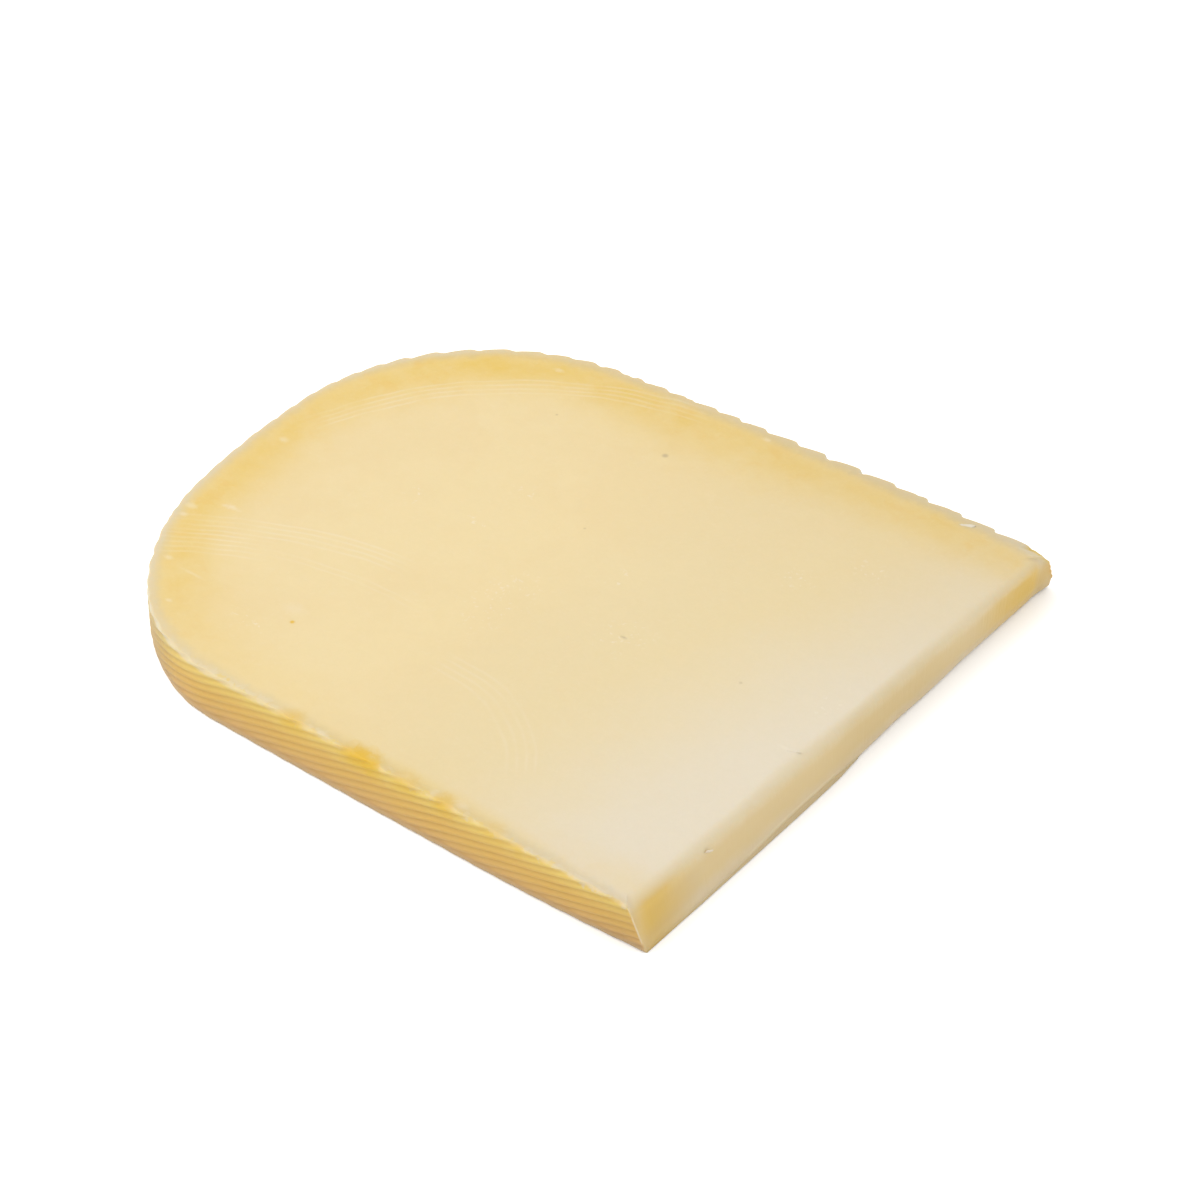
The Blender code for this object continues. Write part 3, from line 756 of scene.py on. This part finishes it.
    # painted shade: greyer at the rind's foot
    skinTone = graph.mix(graph.ramp(z, 1.5, 0.4) * 0.8, skinTone, colours["skinBaseShade"])
    skinTone = graph.mix(graph.ramp(along, 312.0, 322.0) * 0.7, skinTone, colours["corner"], "MULTIPLY")
    cornerLine = graph.ramp(onRind, 0.1, 0.4) * graph.ramp(onRind, 0.95, 0.6)
    cornerLine = cornerLine * graph.ramp(along, 300.0, 310.0)
    cornerLine = cornerLine * graph.ramp(z, 0.6, 2.0) * graph.ramp(ragged, 0.30, 0.60)
    sides = graph.mix(cornerLine * 0.5, graph.mix(onRind, cutTone, skinTone), colours["white"])

    # the front edge is torn: in places the paste runs down over the rind and in others the
    # rind's gold runs in over the paste; the drop is counted from the upper face, whose
    # height is its middle height less its slope times x
    front = graph.ramp(along, 218.0, 240.0)
    drop = topHeight["middle"] - x * topHeight["slope"] - z
    tear = (ragged - 0.5) * 7.0 + torn * 0.4
    pasteOver = graph.ramp(drop + tear, 0.35, -0.35) * front * skin
    rindOver = graph.ramp(gap - tear, 0.3, -0.4) * front * onTop
    tone = graph.mix(rindOver * 0.55, tone, colours["skinTop"])
    tone = graph.mix(wall * (1.0 - pasteOver * 0.5), tone, sides)

    # a pale ragged burr that the knife left along it, and the stains
    burr = graph.ramp(gap + (ragged - 0.5) * 5.0, 1.3, 0.2) * front * graph.ramp(z, 8.5, 9.2)
    tone = graph.mix(burr * 0.14, tone, colours["white"])
    for spotX, spotY, halfX, halfY, show in stains:
        stain = graph.ramp(graph.away(x, y, spotX, spotY, halfX, halfY) + (ragged - 0.5) * 0.9, 1.15, 0.25)
        tone = graph.mix(stain * graph.ramp(z, 5.6, 9.0) * show, tone, colours["stain"])

    # close relief: grain, knife drag and the lines
    drag = graph.noise(graph.stretch(place, (0.06, 1.1, 1.0), 62.0), 1.0, 3.0, 0.55)
    cutDrag = graph.noise(graph.stretch(place, (0.5, 1.3, 0.12)), 1.0, 3.0, 0.6)
    skinGrain = graph.noise(graph.stretch(place, (0.8, 0.8, 2.4)), 1.0, 4.0, 0.65)
    relief = grain * 0.010 + mottle * 0.020 + drag * 0.018 + marks * 0.02
    relief = relief + cutDrag * cutFace * 0.10 + skinGrain * skin * 0.10
    relief = relief - pitFloor * 0.20 - graph.ramp(ragged, 0.72, 0.80) * 0.03
    bump = graph.add("ShaderNodeBump", {},
                     {"Strength": finish["relief"], "Distance": 0.001, "Height": relief})

    roughness = finish["roughness"] + (mottle - 0.5) * 0.16 - ripe * 0.05 + skin * 0.08
    shader = graph.add("ShaderNodeBsdfPrincipled", {"subsurface_method": "RANDOM_WALK"}, {
        "Base Color": tone, "Roughness": roughness, "Normal": bump, "IOR": finish["index"],
        "Specular IOR Level": finish["specular"], "Subsurface Weight": finish["subsurface"],
        "Subsurface Radius": finish["radius"], "Subsurface Scale": finish["scale"]})
    return graph.close(shader)


# Small lumps as one mesh: each is a ball of rings whose radius swells unevenly, squashed to
# its half sizes, curled up along its length by curl * length squared, turned and put down.
def makeLumps(name, places, halfSizes, turns, curls, seed, rings=7, columns=12):
    polar = np.linspace(0.0, math.pi, rings + 2)[1:-1, None]
    sweep = np.linspace(0.0, 2 * math.pi, columns, endpoint=False)[None, :]
    ballX = np.append((np.sin(polar) * np.cos(sweep)).ravel(), [0.0, 0.0])
    ballY = np.append((np.sin(polar) * np.sin(sweep)).ravel(), [0.0, 0.0])
    ballZ = np.append((-np.cos(polar) + 0 * sweep).ravel(), [-1.0, 1.0])
    places, halfSizes = np.array(places)[:, None, :], np.array(halfSizes)[:, None, :]
    shift = np.arange(len(places))[:, None] * 7.3
    bulge = 1.0 + 0.22 * swell(ballX + shift, ballY + ballZ * 1.7, 1.6, seed)
    x, y, z = (ball * bulge * halfSizes[..., i] for i, ball in enumerate((ballX, ballY, ballZ)))
    z = z + np.array(curls)[:, None] * x * x
    turn = np.radians(turns)[:, None]
    turned = np.stack([x * np.cos(turn) - y * np.sin(turn), x * np.sin(turn) + y * np.cos(turn), z], -1)
    vertices = places + turned
    one = ringFaces(rings, columns)
    faces = [[corner + k * len(ballX) for corner in face] for k in range(len(places)) for face in one]
    return putMesh(name, vertices.reshape(-1, 3), faces)


# dried bits that lie on the slab: place, half sizes, turn and curl
bits = {
    "places": ((0.0472, 0.0524, 0.00930), (0.0598, -0.0134, 0.00925), (0.0627, -0.0388, 0.00775)),
    "halfSizes": ((0.0014, 0.0005, 0.00007), (0.0012, 0.00014, 0.00008), (0.0007, 0.0002, 0.0002)),
    "turns": (27.0, 28.0, 60.0),
    "curls": (30.0, 40.0, 0.0),
    "tones": ((0.480, 0.430, 0.345), (0.460, 0.395, 0.290)),
}


def bitMaterial():
    graph = Graph("driedBits")
    place = graph.add("ShaderNodeTexCoord", output="Object")
    mottle = graph.noise(place, 2200.0, 3.0, 0.6)
    tone = graph.mix(mottle, *bits["tones"])
    bump = graph.add("ShaderNodeBump", {}, {"Strength": 0.4, "Distance": 0.0002, "Height": mottle})
    shader = graph.add("ShaderNodeBsdfPrincipled", {}, {
        "Base Color": tone, "Roughness": 0.6 + mottle * 0.15, "Normal": bump,
        "Subsurface Weight": 0.2, "Subsurface Radius": (1.0, 0.7, 0.4), "Subsurface Scale": 0.0006})
    return graph.close(shader)


paste = makeSlab()
paste.data.materials.append(pasteMaterial())
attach(paste, "root")
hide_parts("cheese")

flakes = makeLumps("driedFlakes", bits["places"], bits["halfSizes"], bits["turns"], bits["curls"], 41)
flakes.data.materials.append(bitMaterial())
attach(flakes, "root")
print("dried flakes made:", len(bits["places"]))

stage = {"half": 3.0, "drop": 0.00005, "colours": ((0.95, 0.95, 0.95), (0.92, 0.92, 0.92))}


def makeFloor():
    half, low = stage["half"], lowest.z - stage["drop"]
    corners = [(-half, -half, low), (half, -half, low), (half, half, low), (-half, half, low)]
    floor = putMesh("floor", corners, [(0, 1, 2, 3)])
    graph = Graph("paleFloor")
    place = graph.add("ShaderNodeTexCoord", output="Object")
    faint = graph.noise(place, 3.0, 2.0)
    tone = graph.mix(faint * 0.05, *stage["colours"])
    shader = graph.add("ShaderNodeBsdfPrincipled", {}, {
        "Base Color": tone, "Roughness": 0.9, "Specular IOR Level": 0.1})
    floor.data.materials.append(graph.close(shader))
    return floor


makeFloor()

light = {"sky": 1.37, "power": 9.5, "size": 1.0, "place": (-0.75, -0.30, 0.95)}


def makeLight():
    world = bpy.data.worlds.new("softRoom")
    world.use_nodes = True
    background = world.node_tree.nodes["Background"]
    background.inputs["Color"].default_value = (1.0, 1.0, 1.0, 1.0)
    background.inputs["Strength"].default_value = light["sky"]
    bpy.context.scene.world = world
    lamp = bpy.data.lights.new("softBox", "AREA")
    lamp.shape, lamp.size, lamp.energy = "SQUARE", light["size"], light["power"]
    box = bpy.data.objects.new("softBox", lamp)
    box.location = light["place"]
    box.rotation_euler = Vector(light["place"]).to_track_quat("Z", "Y").to_euler()
    bpy.context.collection.objects.link(box)


view = {
    "azimuth": 38.72, "elevation": 37.26, "distance": 0.63158, "angle": 18.0,
    "aim": (0.00452, 0.00755, 0.0),
}


# The camera stands off from its aim by the distance, at the azimuth and elevation.
def makeCamera():
    turn, rise = math.radians(view["azimuth"]), math.radians(view["elevation"])
    back = Vector((math.sin(turn) * math.cos(rise), -math.cos(turn) * math.cos(rise), math.sin(rise)))
    camera = bpy.data.objects.new("camera", bpy.data.cameras.new("camera"))
    camera.data.sensor_width = 36.0
    camera.data.lens = 18.0 / math.tan(math.radians(view["angle"] / 2))
    camera.data.clip_start, camera.data.clip_end = 0.01, 20.0
    camera.location = Vector(view["aim"]) + back * view["distance"]
    camera.rotation_euler = back.to_track_quat("Z", "Y").to_euler()
    bpy.context.collection.objects.link(camera)
    bpy.context.scene.camera = camera


makeLight()
makeCamera()
bpy.context.scene.view_settings.view_transform = "Standard"
print("stage, light and camera set")
